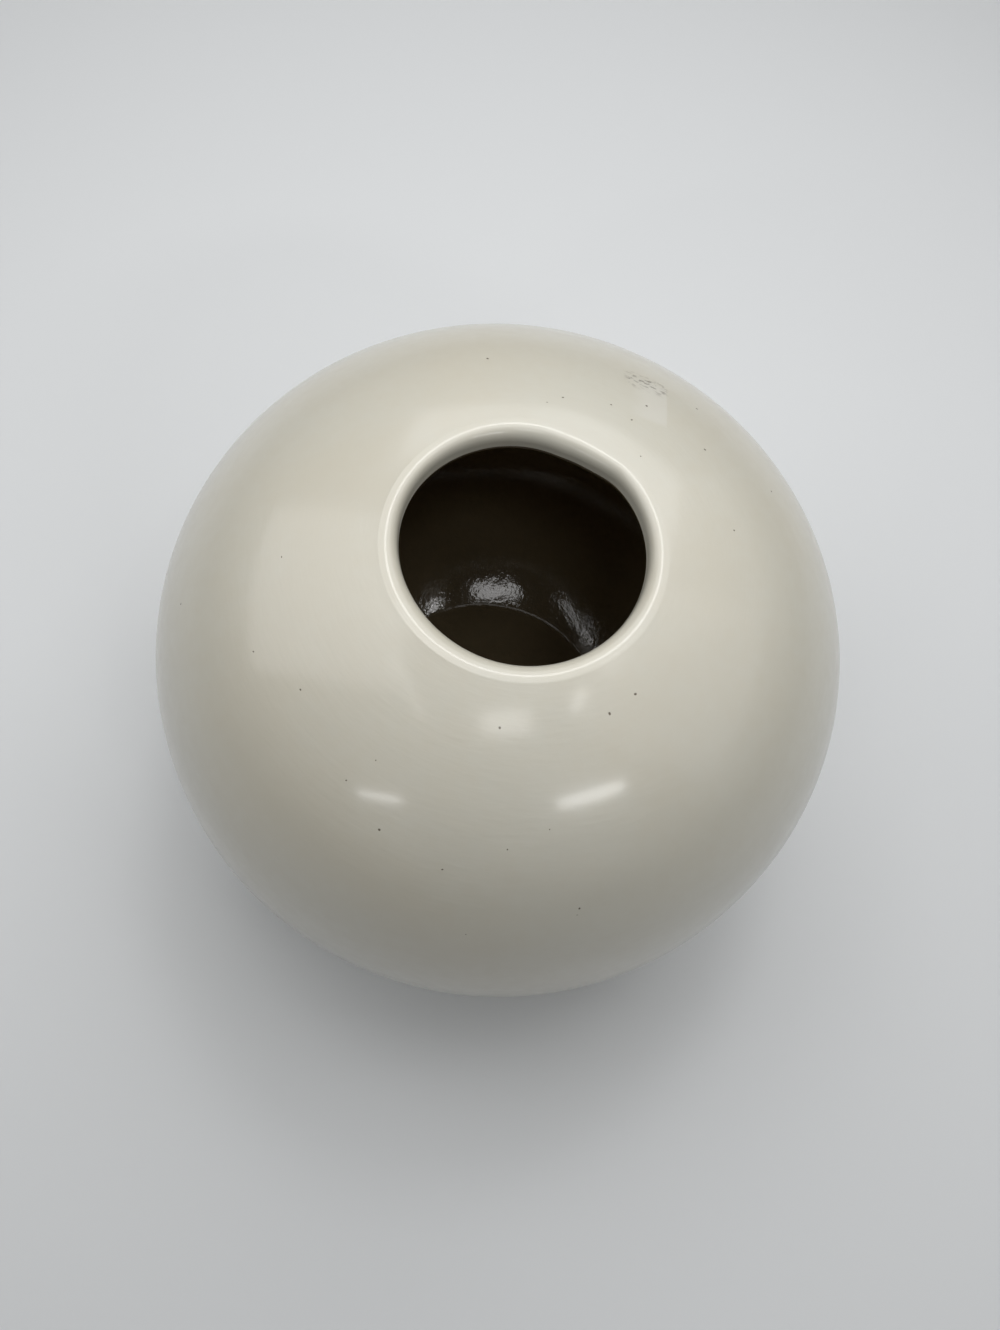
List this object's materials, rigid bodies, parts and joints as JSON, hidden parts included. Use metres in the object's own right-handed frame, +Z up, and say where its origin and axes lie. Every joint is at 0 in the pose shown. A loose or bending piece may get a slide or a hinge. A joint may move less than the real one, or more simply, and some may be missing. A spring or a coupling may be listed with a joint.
{
  "type": "round vase",
  "caption": "Squat round stoneware flower vase with a small rounded lip, cream satin glaze outside, dark glaze inside, standing on a bare foot ring.",
  "frame": {"origin": "centre of the foot ring, on the plane that the vase stands on", "axes": "+Z up along the axis that the vase is turned about, -Y towards the side that the picture is taken from"},
  "size_m": [0.2, 0.2, 0.1529],
  "materials": {
    "bare_stoneware": "dry, unglazed, fine-grained",
    "cream_glaze": "satin",
    "dark_glaze": "semi-gloss"
  },
  "bodies": {
    "root": {"vase_body": "bare_stoneware", "outer_glaze": "cream_glaze", "inner_glaze": "dark_glaze"}
  },
  "joints": []
}
